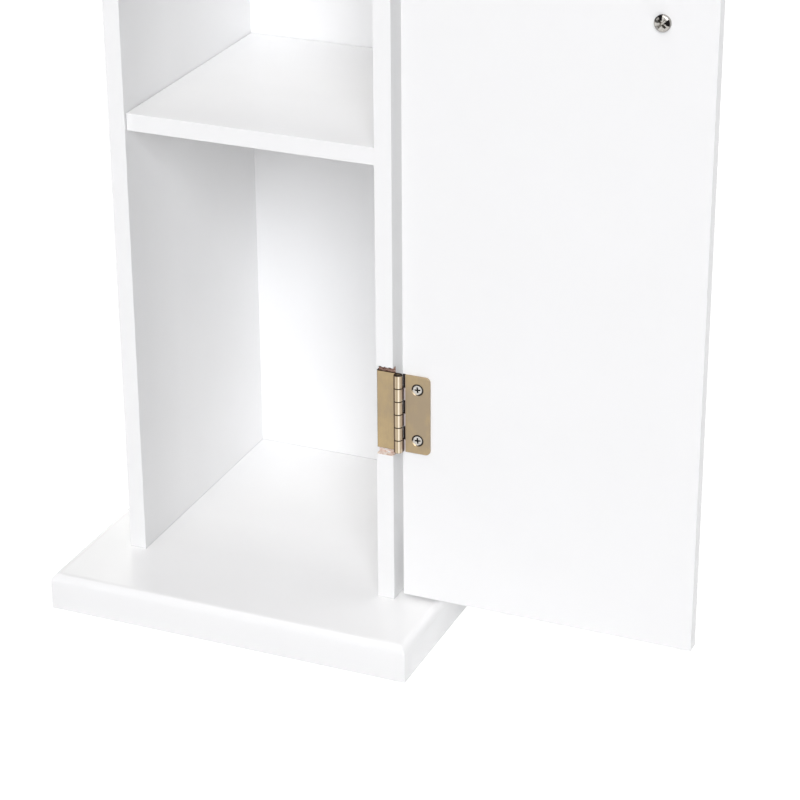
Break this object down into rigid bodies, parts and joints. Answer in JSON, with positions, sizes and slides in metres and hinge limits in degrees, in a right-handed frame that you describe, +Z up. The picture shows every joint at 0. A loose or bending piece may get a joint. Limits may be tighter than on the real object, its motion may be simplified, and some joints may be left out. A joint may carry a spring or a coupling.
{
  "type": "bathroom cabinet",
  "caption": "Slim free-standing bathroom tower cabinet of painted board: moulded base and top boards, loose shelves and a full-height hinged door.",
  "frame": {"origin": "middle of the base board's underside, on the floor", "axes": "+Z up, the door side faces -Y, +X to the right as seen from the front; at rest the door stands open by 180 degrees, beside the cabinet towards +X"},
  "size_m": [0.334, 0.194, 0.68],
  "materials": {
    "white_paint": "satin white paint on MDF",
    "raw_wood": "unfinished beech",
    "antique_brass": "antique brass, satin",
    "bright_steel": "zinc plated",
    "white_plastic": "moulded, matt",
    "magnet": "ferrite, matt"
  },
  "bodies": {
    "cabinet": {"base_board": "white_paint", "top_board": "white_paint", "left_side_panel": "white_paint", "right_side_panel": "white_paint", "back_panel": "white_paint", "lower_shelf": "white_paint", "upper_shelf": "white_paint", "lower_shelf_pins": "bright_steel", "upper_shelf_pins": "bright_steel", "base_dowels": "raw_wood", "top_dowels": "raw_wood", "base_screws": "bright_steel", "back_panel_nails": "bright_steel", "lower_hinge_frame_leaf": "antique_brass", "lower_hinge_pin": "antique_brass", "lower_hinge_frame_screws": "bright_steel", "upper_hinge_frame_leaf": "antique_brass", "upper_hinge_pin": "antique_brass", "upper_hinge_frame_screws": "bright_steel", "catch_housing": "white_plastic", "catch_magnet": "magnet", "catch_pole_plates": "bright_steel", "catch_screws": "bright_steel"},
    "door": {"door_panel": "white_paint", "lower_hinge_door_leaf": "antique_brass", "lower_hinge_door_screws": "bright_steel", "upper_hinge_door_leaf": "antique_brass", "upper_hinge_door_screws": "bright_steel", "door_knob": "antique_brass", "knob_screw": "bright_steel", "strike_plate": "bright_steel", "strike_screw": "bright_steel"}
  },
  "joints": [
    {"name": "door_hinge", "type": "hinge", "parent": "cabinet", "child": "door", "pos_m": [0.0785, -0.0517, 0.1254], "axis": [0, 0, -1], "range_deg": [-15, 180]}
  ]
}
